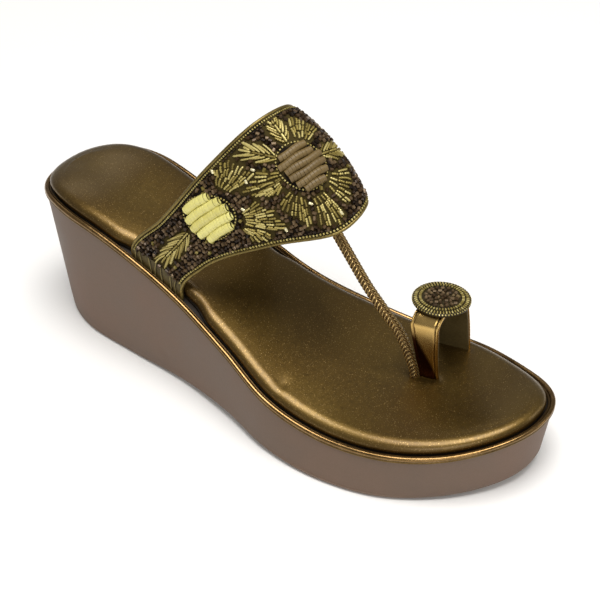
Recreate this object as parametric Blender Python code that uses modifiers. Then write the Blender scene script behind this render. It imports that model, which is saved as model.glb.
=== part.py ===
"""Toe-ring wedge sandal for the right foot, size about EU 38.

Run with: blender --background --python part.py
Frame: +Z up, the toe points along -Y, the outer side of the foot is at -X, and the
origin is on the floor under the middle of the sole. Tables are in millimetres.
"""

import math

import bmesh
import bpy
import numpy as np
from mathutils import Matrix, Vector

MM = 0.001
GAP = 0.3  # clearance between pieces that meet

# Driving sizes of the sole, in millimetres
LENGTH = 250.0
STATIONS = 44
HEEL_ROUND = (41.5, 2.3)  # reach of the rounded heel end along the sole, and its power
TOE_ROUND = (61.0, 2.2)
# share of length from the heel, centre line, half width, rim height, floor clearance, wall tuck
SOLE_COLUMNS = ("share", "centre", "half", "rim", "floor", "tuck")
SOLE_ROWS = (
    (0.00, -6.4, 30.0, 62.4, 0.0, 6.6),
    (0.08, -6.7, 30.3, 66.0, 0.0, 4.8),
    (0.16, -7.1, 30.9, 65.4, 0.0, 3.3),
    (0.26, -7.2, 30.7, 59.7, 0.0, 2.4),
    (0.38, -7.4, 30.7, 49.0, 1.6, 1.4),
    (0.50, -7.6, 34.2, 36.9, 3.0, 0.0),
    (0.60, -5.1, 41.0, 26.7, 1.4, -1.5),
    (0.70, -1.1, 44.0, 21.3, 0.0, -2.8),
    (0.80, 3.2, 43.6, 20.9, 0.0, -2.0),
    (0.90, 7.5, 40.7, 23.4, 1.4, 0.5),
    (1.00, 13.3, 37.0, 29.8, 4.6, 2.8),
)

# Gold piping round the rim
PIPING_WIDTH = 3.0
PIPING_HEIGHT = 2.8
WALL_BACK = 1.0  # the wedge wall stands this far inside the piping's outer edge
SOLE_CHAMFER = 1.8  # the underside's edge is eased by this much
SOLE_CHAMFER_TOP = 2.0

# Padded footbed
FOOTBED_INSET = 3.9
FOOTBED_EDGE = 6.4  # height of the padded edge above the rim
FOOTBED_ROUND = (5.6, 4.2)  # the edge's rounding, across and up
FOOTBED_LIP = 2.0  # how far the rolled edge leans out over the piping round the heel
LIP_REACH = 0.22  # share of length, from the heel, where the lip has run out
PILLOW = 0.5  # swell of the middle above the rounded edge
HEEL_CUP = 1.2
HEEL_CUP_REACH = 0.34  # share of length, from the heel, where the cup has run out
CROWN_FADE = 40.0  # rows narrower than this swell less, down to nothing at the two tips
STRAP_NOTCH = 2.7  # the footbed is cut back this much where the strap goes down
NOTCH_SPARE = 5.0  # full cut this far past the strap's edges
NOTCH_EASE = 7.0  # and run out over this length

# Instep strap. Its feet are places along the sole, measured from the heel.
STRAP_WALL = 2.6
STRAP_SEGMENTS = 40
STRAP_ROWS = 9
STRAP_HEM = 5.0  # straight height of each foot, between the piping and the footbed
STRAP_INSET = PIPING_WIDTH + 2.2 * GAP  # the feet's outer face, measured from the rim
STRAP_RAISE = 1.5 * GAP  # the feet stand this far above the wedge
STRAP_OUT = (0, -0.78, 0.62)  # way in which the strap swells past a straight line
STRAP_FEET = {"outer": (68.5, 97.0), "inner": (70.0, 102.0)}  # back and front edge
# Sections from the outer foot to the inner one: back edge, front edge and swell between them
ARCH_COLUMNS = (
    "around", "back_x", "back_y", "back_z", "front_x", "front_y", "front_z", "swell"
)
ARCH_ROWS = (
    (0.10, -30.6, 42.3, 82.9, -29.8, 19.4, 67.1, 1.8),
    (0.26, -19.5, 24.7, 110.6, -18.7, -7.8, 84.6, 5.4),
    (0.42, -4.6, 12.3, 128.6, -5.0, -32.3, 94.4, 4.4),
    (0.58, 15.5, 10.0, 128.8, 15.2, -32.2, 98.2, 5.0),
    (0.74, 27.7, 18.1, 112.6, 22.2, -13.3, 88.4, 7.6),
    (0.90, 25.8, 39.0, 83.8, 22.6, 12.2, 66.6, 2.4),
)

# Toe loop, its beaded disc and the cord from the strap
LOOP_PLACE = (21.4, -68.8)
LOOP_TURN = 1.5  # degrees that the line from leg to leg turns from straight across
BAND_TURN = 16.0  # degrees that the band turns from straight along
LOOP_OUTER = 25.6
LOOP_TOP = 58.5
# How far the band reaches towards the heel and towards the toe, at each leg
BAND_TOP = {"outer": (8.8, 3.4), "inner": (9.8, 4.4)}
BAND_FOOT = {"outer": (2.6, 5.6), "inner": (7.2, 6.6)}
LOOP_WALL = 1.6
LOOP_CORNER = 5.5
LOOP_LEAN = 1.0  # how far a leg leans in between its middle and its corner
LOOP_DEPTH = 4.0  # how far the legs go down into the footbed
DISC_PLACE = (21.6, -66.5)
DISC_RADIUS = 12.4
DISC_THICK = 2.3
DISC_TILT = 4.5  # degrees that the disc leans down towards its inner heel side
DISC_WAY = 34.0  # degrees from +X towards +Y of the way in which it leans
DISC_RISE = 0.5  # the tilted disc's middle stands this much higher off the loop
CORD_RADIUS = 1.6
# Route of the cord, from the lining behind the strap's front edge down into the footbed
CORD_ROUTE = (
    (-1.4, -11.0, 112.2),
    (-1.1, -14.6, 107.1),
    (-0.1, -20.4, 98.8),
    (1.0, -28.6, 86.8),
    (1.9, -35.6, 76.4),
    (2.9, -42.4, 66.4),
    (4.0, -49.6, 57.6),
    (5.6, -56.6, 48.4),
    (5.9, -62.0, 38.6),
    (6.2, -64.6, 31.6),
    (6.4, -65.4, 26.6),
    (6.4, -65.6, 22.5),
)
CORD_POINTS = 15


def column(rows, columns, name, share):
    """Cubic Hermite curve through one column of a table, with the first column as the place."""
    place = np.array([row[0] for row in rows])
    value = np.array([row[columns.index(name)] for row in rows])
    slope = np.gradient(value, place)
    share = np.clip(share, place[0], place[-1])
    cell = np.clip(np.searchsorted(place, share, side="right") - 1, 0, len(place) - 2)
    width = place[cell + 1] - place[cell]
    t = (share - place[cell]) / width
    return (
        (1 + 2 * t) * (1 - t) ** 2 * value[cell]
        + t * (1 - t) ** 2 * width * slope[cell]
        + t * t * (3 - 2 * t) * value[cell + 1]
        - t * t * (1 - t) * width * slope[cell + 1]
    )


def sole(name, share):
    return column(SOLE_ROWS, SOLE_COLUMNS, name, share)


def rounding(distance, reach, power):
    """1 along the middle of the sole, falling to 0 at an end as a superellipse."""
    inside = np.clip(1 - distance / reach, 0, 1)
    return (1 - inside**power) ** (1 / power)


def rim_outline():
    """Closed outline of the piping's outer edge: heel, outer side, toe, inner side."""
    turn = np.linspace(0, math.pi, STATIONS + 1)
    share = (1 - np.cos(turn)) / 2
    along = share * LENGTH
    half = (
        sole("half", share)
        * rounding(along, *HEEL_ROUND)
        * rounding(LENGTH - along, *TOE_ROUND)
    )
    centre = sole("centre", share)
    outer = np.column_stack([centre - half, LENGTH / 2 - along])
    inner = np.column_stack([centre + half, LENGTH / 2 - along])
    ring = np.concatenate([outer, inner[1:-1][::-1]])
    ring[:, 0] -= (ring[:, 0].min() + ring[:, 0].max()) / 2
    return ring


RIM = rim_outline()


def share_of(y):
    """Share of the sole's length, from the heel, of a place along Y."""
    return np.clip(0.5 - y / LENGTH, 0, 1)


def inward(ring, inset):
    """The ring moved towards its inside by inset, one value or one for each point."""
    tangent = np.roll(ring, -1, axis=0) - np.roll(ring, 1, axis=0)
    tangent /= np.linalg.norm(tangent, axis=1)[:, None]
    normal = np.column_stack([-tangent[:, 1], tangent[:, 0]])
    return ring + normal * np.broadcast_to(inset, len(ring))[:, None]


def side_place(y, side, inset):
    """X of the inset rim at this Y, on the outer side (-1) or the inner side (+1)."""
    ring = inward(RIM, inset)
    half = ring[: STATIONS + 1] if side < 0 else np.roll(ring[::-1], 1, axis=0)[: STATIONS + 1]
    return np.interp(-y, -half[:, 1], half[:, 0])


def mesh_object(name, points, faces, collection, material):
    mesh = bpy.data.meshes.new(name)
    mesh.from_pydata((np.asarray(points) * MM).tolist(), [], faces)
    work = bmesh.new()
    work.from_mesh(mesh)
    bmesh.ops.remove_doubles(work, verts=work.verts, dist=1e-6)
    bmesh.ops.dissolve_degenerate(work, dist=1e-7, edges=work.edges)
    work.to_mesh(mesh)
    work.free()
    piece = bpy.data.objects.new(name, mesh)
    mesh.shade_smooth()
    mesh.set_sharp_from_angle(angle=math.radians(35))
    mesh.materials.append(material)
    collection.objects.link(piece)
    return piece


def loft_faces(rings, size, closed=False):
    """Quads between neighbouring rings of the same number of points."""
    faces = []
    for r in range(rings if closed else rings - 1):
        here, there = r * size, (r + 1) % rings * size
        for k in range(size):
            after = (k + 1) % size
            faces.append((here + k, there + k, there + after, here + after))
    return faces


def level(inset, rise, up=0.0):
    """A ring of points inside the rim: rise is 0 at the floor side and 1 at the rim side."""
    ring = inward(RIM, inset)
    share = share_of(ring[:, 1])
    floor, rim = np.maximum(sole("floor", share), 0), sole("rim", share)
    return np.column_stack([ring, floor + (rim - floor) * rise + up])


def slab(name, levels, across, crown, collection, material):
    """A solid with the sole's outline, from levels that run from the underside to the top.

    Rows of points across the underside and the top join the two sides, and crown gives the
    top's extra height from the share across and the share of length.
    """
    rings = []
    for j in range(STATIONS + 1):
        mirror = -j % len(RIM)
        outer = [ring[j] for ring in levels]
        inner = [ring[mirror] for ring in levels]
        shares = np.arange(1, across) / across
        top = [outer[-1] * (1 - f) + inner[-1] * f for f in shares]
        narrow = min(1, np.linalg.norm(inner[-1] - outer[-1]) / CROWN_FADE)
        for f, point in zip(shares, top):
            point[2] += narrow**2 * (3 - 2 * narrow) * crown(f, share_of(point[1]))
        under = [inner[0] * (1 - f) + outer[0] * f for f in shares]
        rings.append(outer + top + inner[::-1] + under)
    faces = loft_faces(len(rings), len(rings[0]))
    return mesh_object(name, np.concatenate(rings), faces, collection, material)


def wedge_sole(collection, material):
    tuck = sole("tuck", share_of(RIM[:, 1]))
    levels = [
        level(WALL_BACK + tuck + SOLE_CHAMFER, 0),
        level(WALL_BACK + tuck + 0.22 * SOLE_CHAMFER, 0, 0.25 * SOLE_CHAMFER_TOP),
        level(WALL_BACK + tuck, 0, SOLE_CHAMFER_TOP),
        level(WALL_BACK + 0.5 * tuck, 0.5),
        level(WALL_BACK, 1),
    ]
    return slab("wedge_sole", levels, 5, lambda f, share: 0.0, collection, material)


def strap_window(y, side):
    """1 where the strap goes down beside the footbed, 0 elsewhere, with soft ends."""
    back, front = STRAP_FEET["outer" if side < 0 else "inner"]
    run = np.abs((LENGTH / 2 - y) - (back + front) / 2) - (front - back) / 2
    ease = np.clip((run - NOTCH_SPARE) / NOTCH_EASE, 0, 1)
    return 1 - ease * ease * (3 - 2 * ease)


def footbed(collection, material):
    turns = range(len(RIM))
    inset = np.array(
        [
            FOOTBED_INSET + STRAP_NOTCH * strap_window(RIM[k, 1], -1 if k <= STATIONS else 1)
            for k in turns
        ]
    )
    fade = np.clip(share_of(RIM[:, 1]) / LIP_REACH, 0, 1)
    lip = FOOTBED_LIP * (1 - fade * fade * (3 - 2 * fade))
    across, up = FOOTBED_ROUND
    levels = [level(inset + 0.5, 1, GAP), level(inset, 1, GAP + 1.0)]
    for turn in np.radians((0, 22, 44, 66, 90)):
        height = FOOTBED_EDGE - up * (1 - math.sin(turn))
        out = lip * math.sin(2 * turn)
        levels.append(level(inset + across * (1 - math.cos(turn)) - out, 1, GAP + height))

    def crown(f, share):
        pillow = PILLOW * (1 - (2 * f - 1) ** 4)
        cup = HEEL_CUP * math.sin(math.pi * f) ** 2 * max(0, 1 - share / HEEL_CUP_REACH)
        return pillow - cup

    return slab("footbed", levels, 8, crown, collection, material)


def rim_piping(collection, material):
    # Inset from the rim and height above it, round the piping's section
    section = (
        (0.5, 0.0),
        (0.0, 0.8),
        (0.1, 1.8),
        (0.9, PIPING_HEIGHT - 0.2),
        (PIPING_WIDTH - 1.1, PIPING_HEIGHT),
        (PIPING_WIDTH - 0.2, PIPING_HEIGHT - 0.6),
        (PIPING_WIDTH, 0.8),
        (PIPING_WIDTH - 0.4, 0.0),
    )
    levels = [level(inset, 1, GAP + up) for inset, up in section]
    points = np.stack(levels, axis=1).reshape(-1, 3)
    faces = loft_faces(len(RIM), len(section), closed=True)
    return mesh_object("rim_piping", points, faces, collection, material)


def strap_foot(name, which):
    """Lowest point of one of the strap's edges, on the sole just inside the piping."""
    y = LENGTH / 2 - STRAP_FEET[name][which]
    x = side_place(y, -1 if name == "outer" else 1, STRAP_INSET)
    return np.array([x, y, float(sole("rim", share_of(y))) + STRAP_RAISE])


def strap_edge(which, around):
    """Points along the back edge (0) or the front edge (1), from foot to foot."""
    edge = [ARCH_COLUMNS.index(("back_" + axis, "front_" + axis)[which]) for axis in "xyz"]
    outer, inner = strap_foot("outer", which), strap_foot("inner", which)
    hem = np.array([0, 0, STRAP_HEM])
    rows = [(0, *outer), (0.02, *(outer + hem))]
    rows += [(row[0], *(row[place] for place in edge)) for row in ARCH_ROWS]
    rows += [(0.98, *(inner + hem)), (1, *inner)]
    names = ("around", "x", "y", "z")
    return np.column_stack([column(rows, names, axis, around) for axis in names[1:]])


def strap_surface(around, fronts):
    """Grid of points on the strap's outer face, one row for each share front."""
    back, front = strap_edge(0, around), strap_edge(1, around)
    fronts = np.asarray(fronts)[:, None, None]
    rows = [(0, 0)] + [(row[0], row[-1]) for row in ARCH_ROWS] + [(1, 0)]
    swell = column(rows, ("around", "swell"), "swell", around)[None, :, None]
    outward = 4 * fronts * (1 - fronts) * swell * np.array(STRAP_OUT)
    return back * (1 - fronts) + front * fronts + outward


def solid_shell(piece, thickness, offset):
    shell = piece.modifiers.new("Wall", "SOLIDIFY")
    shell.thickness = thickness * MM
    shell.offset = offset
    shell.use_even_offset = True
    return shell


def instep_strap(collection, material):
    inner_turns = np.linspace(0.02, 0.98, STRAP_SEGMENTS + 1)
    around = np.concatenate([[0, 0.01], inner_turns, [0.99, 1]])
    rows = strap_surface(around, np.linspace(0, 1, STRAP_ROWS))
    size = len(around)
    faces = []
    for r in range(STRAP_ROWS - 1):
        for k in range(size - 1):
            here, there = r * size + k, (r + 1) * size + k
            faces.append((here, there, there + 1, here + 1))
    piece = mesh_object("instep_strap", rows.reshape(-1, 3), faces, collection, material)
    solid_shell(piece, STRAP_WALL, -1)
    return piece


def loop_path():
    """Middle line of the band across the toe: up one leg, over, and down the other."""
    half = LOOP_OUTER / 2 - LOOP_WALL / 2
    top = LOOP_TOP - LOOP_WALL / 2
    x, y = LOOP_PLACE
    foot = float(sole("rim", share_of(y))) + GAP + FOOTBED_EDGE - LOOP_DEPTH
    corner = LOOP_CORNER
    path = [(-half, up) for up in (foot, foot + LOOP_DEPTH, (foot + top - corner) / 2)]
    half -= LOOP_LEAN
    for turn in np.linspace(0, math.pi / 2, 7):
        path.append(
            (-half + corner * (1 - math.cos(turn)), top - corner + corner * math.sin(turn))
        )
    return np.array(path + [(-across, up) for across, up in reversed(path)])


def turned(points):
    """Points measured across the toe, back along the band and up, put in place."""
    across, along = math.radians(LOOP_TURN), math.radians(BAND_TURN)
    points = np.asarray(points, float)
    x = points[:, 0] * math.cos(across) - points[:, 1] * math.sin(along) + LOOP_PLACE[0]
    y = points[:, 0] * math.sin(across) + points[:, 1] * math.cos(along) + LOOP_PLACE[1]
    return np.column_stack([x, y, points[:, 2]])


def reach(which, across, up):
    """How far the band reaches towards the heel (0) or the toe (1) at this place."""
    path = loop_path()
    foot, top = (
        np.interp(across, (path[0][0], path[-1][0]), (size["outer"][which], size["inner"][which]))
        for size in (BAND_FOOT, BAND_TOP)
    )
    return np.interp(up, (path[1][1], LOOP_TOP - LOOP_CORNER), (foot, top))


def toe_loop(collection, material):
    path = loop_path()
    points = [
        (across, y, up)
        for across, up in path
        for y in (-reach(1, across, up), reach(0, across, up))
    ]
    faces = [(2 * k, 2 * k + 1, 2 * k + 3, 2 * k + 2) for k in range(len(path) - 1)]
    piece = mesh_object("toe_loop", turned(points), faces, collection, material)
    solid_shell(piece, LOOP_WALL, 0)
    return piece


def toe_disc(collection, material):
    profile = (
        (0.0, DISC_THICK),
        (0.55 * DISC_RADIUS, DISC_THICK - 0.15),
        (0.88 * DISC_RADIUS, DISC_THICK - 0.5),
        (DISC_RADIUS, DISC_THICK - 1.2),
        (DISC_RADIUS, 0.6),
        (0.93 * DISC_RADIUS, 0.0),
        (0.0, 0.0),
    )
    mesh = bpy.data.meshes.new("toe_disc")
    points = [(radius * MM, 0, up * MM) for radius, up in profile]
    mesh.from_pydata(points, [(k, k + 1) for k in range(len(points) - 1)], [])
    mesh.materials.append(material)
    piece = bpy.data.objects.new("toe_disc", mesh)
    piece.location = Vector((*DISC_PLACE, LOOP_TOP + GAP + DISC_RISE)) * MM
    way = math.radians(DISC_WAY)
    axis = (-math.sin(way), math.cos(way), 0)
    piece.rotation_euler = Matrix.Rotation(math.radians(DISC_TILT), 3, axis).to_euler()
    collection.objects.link(piece)
    spin = piece.modifiers.new("Turn", "SCREW")
    spin.steps = spin.render_steps = 28
    spin.use_merge_vertices = True
    spin.merge_threshold = 0.00001
    spin.use_smooth_shade = True
    return piece


def smooth_route(route, count):
    """Points spread evenly along a smooth curve through the route's own points."""
    route = np.array(route)
    run = np.concatenate([[0], np.cumsum(np.linalg.norm(np.diff(route, axis=0), axis=1))])
    rows = [(place, *point) for place, point in zip(run, route)]
    even = np.linspace(0, run[-1], count)
    names = ("run", "x", "y", "z")
    return np.column_stack([column(rows, names, axis, even) for axis in names[1:]])


def toe_cord(collection, material):
    curve = bpy.data.curves.new("toe_cord", "CURVE")
    curve.dimensions = "3D"
    curve.bevel_depth = CORD_RADIUS * MM
    curve.bevel_resolution = 2
    curve.use_fill_caps = True
    spline = curve.splines.new("POLY")
    points = smooth_route(CORD_ROUTE, CORD_POINTS) * MM
    spline.points.add(len(points) - 1)
    for slot, point in zip(spline.points, points):
        slot.co = (*point, 1)
    curve.materials.append(material)
    piece = bpy.data.objects.new("toe_cord", curve)
    collection.objects.link(piece)
    return piece


def cut(piece, cutter, cutters):
    cutter.hide_render = True
    cutter.display_type = "WIRE"
    for collection in cutter.users_collection:
        collection.objects.unlink(cutter)
    cutters.objects.link(cutter)
    hole = piece.modifiers.new(cutter.name, "BOOLEAN")
    hole.operation = "DIFFERENCE"
    hole.object = cutter


def footbed_slots(bed, cutters):
    """Slots for the loop's two legs and a hole for the cord."""
    leg = LOOP_OUTER / 2 - LOOP_WALL / 2
    foot = loop_path()[0][1]
    turn = math.radians(BAND_TURN)
    for name, side in (("outer_leg_slot", -1), ("inner_leg_slot", 1)):
        heel, toe = BAND_FOOT["outer" if side < 0 else "inner"]
        place = turned([(side * leg, (heel - toe) / 2, foot + LOOP_DEPTH)])[0] * MM
        bpy.ops.mesh.primitive_cube_add(size=1, location=place, rotation=(0, 0, turn))
        slot = bpy.context.object
        slot.name = name
        slot.scale = (
            (LOOP_WALL + 2 * GAP) * MM,
            (heel + toe + 2 * GAP) * MM,
            2 * (LOOP_DEPTH + GAP) * MM,
        )
        cut(bed, slot, cutters)
    end, above = Vector(CORD_ROUTE[-1]), Vector(CORD_ROUTE[-2])
    run = above - end
    bpy.ops.mesh.primitive_cylinder_add(
        vertices=16,
        radius=(CORD_RADIUS + 2 * GAP) * MM,
        depth=3 * run.length * MM,
        location=(end + 1.2 * run) * MM,
        rotation=run.to_track_quat("Z", "Y").to_euler(),
    )
    hole = bpy.context.object
    hole.name = "cord_hole"
    cut(bed, hole, cutters)


def finish(name, colour, roughness, metallic):
    material = bpy.data.materials.new(name)
    material.use_nodes = True
    shader = material.node_tree.nodes["Principled BSDF"]
    shader.inputs["Base Color"].default_value = (*colour, 1)
    shader.inputs["Roughness"].default_value = roughness
    shader.inputs["Metallic"].default_value = metallic
    return material


def main():
    for thing in list(bpy.data.objects):
        bpy.data.objects.remove(thing)
    sandal = bpy.data.collections.new("toe_ring_wedge_sandal")
    cutters = bpy.data.collections.new("cutters")
    for collection in (sandal, cutters):
        bpy.context.scene.collection.children.link(collection)

    mauve = finish("mauve_wedge", (0.19, 0.14, 0.12), 0.55, 0.0)
    gold = finish("gold_leather", (0.45, 0.27, 0.07), 0.25, 0.9)
    bronze = finish("bronze_leather", (0.10, 0.065, 0.02), 0.4, 0.5)
    beaded = finish("beaded_strap", (0.14, 0.10, 0.03), 0.4, 0.5)
    braid = finish("braided_cord", (0.30, 0.18, 0.07), 0.35, 0.8)

    wedge_sole(sandal, mauve)
    rim_piping(sandal, gold)
    bed = footbed(sandal, bronze)
    instep_strap(sandal, beaded)
    toe_loop(sandal, gold)
    toe_disc(sandal, beaded)
    toe_cord(sandal, braid)
    footbed_slots(bed, cutters)


main()
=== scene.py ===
import math

import bmesh
import bpy
import numpy as np
from mathutils import Matrix, Vector


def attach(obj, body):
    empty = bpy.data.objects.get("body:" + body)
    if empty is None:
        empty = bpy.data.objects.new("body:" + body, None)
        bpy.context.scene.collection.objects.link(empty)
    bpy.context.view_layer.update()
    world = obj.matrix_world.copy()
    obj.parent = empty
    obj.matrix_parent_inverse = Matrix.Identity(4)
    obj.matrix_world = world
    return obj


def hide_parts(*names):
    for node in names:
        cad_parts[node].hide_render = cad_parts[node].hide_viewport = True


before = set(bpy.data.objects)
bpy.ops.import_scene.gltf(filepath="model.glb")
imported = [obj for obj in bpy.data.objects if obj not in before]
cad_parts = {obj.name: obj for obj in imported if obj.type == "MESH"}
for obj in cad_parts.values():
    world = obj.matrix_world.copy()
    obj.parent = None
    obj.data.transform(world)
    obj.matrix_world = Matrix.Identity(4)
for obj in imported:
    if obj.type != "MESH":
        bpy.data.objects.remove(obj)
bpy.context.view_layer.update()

# Toe-ring wedge sandal, right foot. Sizes are in millimetres until a mesh is made.
mm = 0.001
scene = bpy.context.scene
gap = 0.3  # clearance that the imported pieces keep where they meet

shot = {
    "place": (-0.3676, -0.2899, 0.4281),
    "target": (-0.0004, -0.0092, 0.0455),
    "lens": 83.3,
}

studio = {
    "sky": (1.0, 0.985, 0.96), "skyStrength": 0.26,
    "floor": (0.90, 0.90, 0.90), "floorSize": 8.0,
    # name, place, target, size, watts, colour
    "lamps": (
        ("topLamp", (-0.15, -0.15, 1.6), (0, 0, 0.03), (0.9, 0.9), 26.0, (1.0, 0.98, 0.95)),
        ("keyLamp", (-1.3, -1.0, 0.9), (0, 0, 0.03), (0.8, 0.8), 8.0, (1.0, 0.97, 0.93)),
        ("backLamp", (0.8, 1.2, 1.2), (0, 0, 0.05), (0.7, 0.4), 1.1, (1.0, 0.97, 0.92)),
        ("toeLamp", (0.9, -1.2, 0.8), (0, -0.05, 0.03), (0.45, 0.35), 2.6, (1.0, 0.97, 0.92)),
    ),
}


def addThing(name, data):
    thing = bpy.data.objects.new(name, data)
    scene.collection.objects.link(thing)
    return thing


def aimAt(thing, place, target):
    thing.location = place
    thing.rotation_euler = (Vector(target) - Vector(place)).to_track_quat("-Z", "Y").to_euler()


def makeCamera():
    data = bpy.data.cameras.new("camera")
    data.lens = shot["lens"]
    data.clip_start = 0.01
    scene.view_settings.view_transform = "Standard"
    scene.camera = addThing("camera", data)
    aimAt(scene.camera, shot["place"], shot["target"])


# A plain sky, soft lamps and a pale square floor
def makeStudio():
    world = bpy.data.worlds.new("studioSky")
    world.use_nodes = True
    sky = world.node_tree.nodes["Background"]
    sky.inputs["Color"].default_value = (*studio["sky"], 1)
    sky.inputs["Strength"].default_value = studio["skyStrength"]
    scene.world = world
    for name, place, target, size, watts, colour in studio["lamps"]:
        data = bpy.data.lights.new(name, "AREA")
        data.shape = "RECTANGLE"
        data.size, data.size_y = size
        data.energy = watts
        data.color = colour
        aimAt(addThing(name, data), place, target)
    half = studio["floorSize"] / 2
    mesh = bpy.data.meshes.new("floor")
    corners = [(-half, -half, 0), (half, -half, 0), (half, half, 0), (-half, half, 0)]
    mesh.from_pydata(corners, [], [(0, 1, 2, 3)])
    mesh.materials.append(Finish("floorPaper", studio["floor"], 0.8).material)
    addThing("floor", mesh)


# A material, and short names for the nodes that the finishes below are made from
class Finish:
    def __init__(self, name, colour, roughness, metallic=0.0, **sockets):
        self.material = bpy.data.materials.new(name)
        self.material.use_nodes = True
        self.tree = self.material.node_tree
        self.inputs = self.tree.nodes["Principled BSDF"].inputs
        self.place = self.node("ShaderNodeTexCoord", {}).outputs["Object"]
        self.inputs["Base Color"].default_value = (*colour, 1)
        self.inputs["Roughness"].default_value = roughness
        self.inputs["Metallic"].default_value = metallic
        for socket, value in sockets.items():
            self.inputs[socket.replace("_", " ")].default_value = value

    def node(self, kind, sockets, **settings):
        made = self.tree.nodes.new(kind)
        for key, value in settings.items():
            setattr(made, key, value)
        for key, value in sockets.items():
            if isinstance(value, bpy.types.NodeSocket):
                self.tree.links.new(value, made.inputs[key])
            else:
                made.inputs[key].default_value = value
        return made

    def attribute(self, name):
        return self.node("ShaderNodeAttribute", {}, attribute_name=name).outputs["Fac"]

    def grain(self, scale, detail=3.0, roughness=0.55, distortion=0.0):
        sockets = {"Vector": self.place, "Scale": scale, "Detail": detail,
                   "Roughness": roughness, "Distortion": distortion}
        return self.node("ShaderNodeTexNoise", sockets).outputs["Fac"]

    def cells(self, scale):
        sockets = {"Vector": self.place, "Scale": scale}
        return self.node("ShaderNodeTexVoronoi", sockets).outputs["Distance"]

    def sums(self, operation, a, b):
        return self.node("ShaderNodeMath", {0: a, 1: b}, operation=operation).outputs[0]

    def add(self, a, b):
        return self.sums("ADD", a, b)

    def times(self, a, b):
        return self.sums("MULTIPLY", a, b)

    # The piece's own tint, moved up and down by a clouding from -amount / 2 to amount / 2
    def tinted(self, cloud, amount):
        share = self.times(self.sums("SUBTRACT", cloud, 0.5), amount)
        return self.add(self.attribute("tint"), share)

    def ramp(self, value, *stops):
        made = self.node("ShaderNodeValToRGB", {"Fac": value})
        band = made.color_ramp
        while len(band.elements) < len(stops):
            band.elements.new(0.5)
        for element, (place, colour) in zip(band.elements, stops):
            element.position = place
            element.color = (*colour, 1) if hasattr(colour, "__len__") else (colour,) * 3 + (1,)
        return made.outputs["Color"]

    def mixed(self, share, a, b):
        sockets = {0: share, 6: a, 7: (*b, 1)}
        return self.node("ShaderNodeMix", sockets, data_type="RGBA").outputs[2]

    def colourFrom(self, socket):
        self.tree.links.new(socket, self.inputs["Base Color"])

    def roughnessFrom(self, cloud, low, high):
        self.tree.links.new(self.ramp(cloud, (0.3, low), (0.7, high)), self.inputs["Roughness"])

    def relief(self, height, depth, strength):
        bump = self.node("ShaderNodeBump",
                         {"Height": height, "Strength": strength, "Distance": depth * mm})
        self.tree.links.new(bump.outputs["Normal"], self.inputs["Normal"])


# Mauve wrap with fine pores, and painted shade nearly black on the top that the pad covers
def wedgeFinish():
    look = Finish("wedgeWrap", (0.19, 0.14, 0.12), 0.55)
    cloud, fine = look.grain(28, 4), look.grain(1500, 2)
    wall = look.ramp(look.add(look.times(cloud, 0.7), look.times(fine, 0.3)),
                     (0.3, (0.110, 0.070, 0.044)), (0.5, (0.134, 0.083, 0.053)),
                     (0.72, (0.160, 0.096, 0.064)))
    look.colourFrom(look.mixed(look.attribute("inside"), wall, (0.014, 0.008, 0.004)))
    look.roughnessFrom(cloud, 0.5, 0.64)
    look.relief(look.add(fine, look.times(look.cells(1100), 0.8)), 0.06, 0.5)
    return look.material


# Foiled leather: fine pores, soft wrinkles and rubbed lighter places
def goldLeather(name, dark, light, roughness, metallic, wrinkles):
    look = Finish(name, light, roughness, metallic)
    cloud, fine = look.grain(90, 4), look.grain(1300, 3)
    look.colourFrom(look.ramp(look.times(look.add(cloud, fine), 0.5), (0.36, dark), (0.62, light)))
    look.roughnessFrom(cloud, roughness - 0.06, roughness + 0.1)
    look.relief(look.add(look.times(look.cells(1500), 0.6), cloud), wrinkles, 0.6)
    return look.material


# Bronze leather with crinkles and sparks, and painted shade darker down its wall
def footbedFinish():
    look = Finish("footbedLeather", (0.12, 0.07, 0.02), 0.42, 0.95, Coat_Weight=0.40,
                  Coat_Roughness=0.27)
    cloud, crinkle, spark = look.grain(22, 5), look.grain(620, 5, 0.7, 0.6), look.grain(2100, 2)
    base = look.ramp(cloud, (0.3, (0.098, 0.055, 0.010)), (0.55, (0.128, 0.077, 0.015)),
                     (0.75, (0.160, 0.101, 0.022)))
    sparked = look.mixed(look.ramp(spark, (0.62, 0.0), (0.74, 1.0)), base, (0.50, 0.33, 0.12))
    # Painted shade: the shade attribute mixes the pad's colour towards nearly black low on its
    # wall
    look.colourFrom(look.mixed(look.attribute("shade"), sparked, (0.016, 0.008, 0.003)))
    look.roughnessFrom(crinkle, 0.34, 0.50)
    look.relief(look.add(crinkle, look.times(spark, 0.5)), 0.10, 0.5)
    return look.material


# Dark plum backing cloth, olive near the leaves
def clothFinish():
    look = Finish("backingCloth", (0.03, 0.016, 0.012), 0.85, Specular_IOR_Level=0.2)
    cloud = look.add(look.times(look.grain(160, 3), 0.5), look.attribute("leafNear"))
    look.colourFrom(look.ramp(cloud, (0.30, (0.006, 0.003, 0.001)), (1.0, (0.045, 0.032, 0.006))))
    look.relief(look.cells(1700), 0.15, 0.8)
    return look.material


# Bright foil, turned deep red-brown by painted shade and a painted dark reflection towards the
# outer leg's foot, and by painted shade in the rim's groove
def loopFinish():
    look = Finish("loopGilt", (0.7, 0.46, 0.16), 0.16, 1.0)
    cloud = look.grain(70, 4)
    foil = look.ramp(cloud, (0.35, (0.50, 0.315, 0.095)), (0.65, (0.62, 0.415, 0.145)))
    look.colourFrom(look.mixed(look.attribute("shade"), foil, (0.030, 0.009, 0.003)))
    look.roughnessFrom(cloud, 0.17, 0.27)
    look.relief(cloud, 0.03, 0.5)
    return look.material
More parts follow.
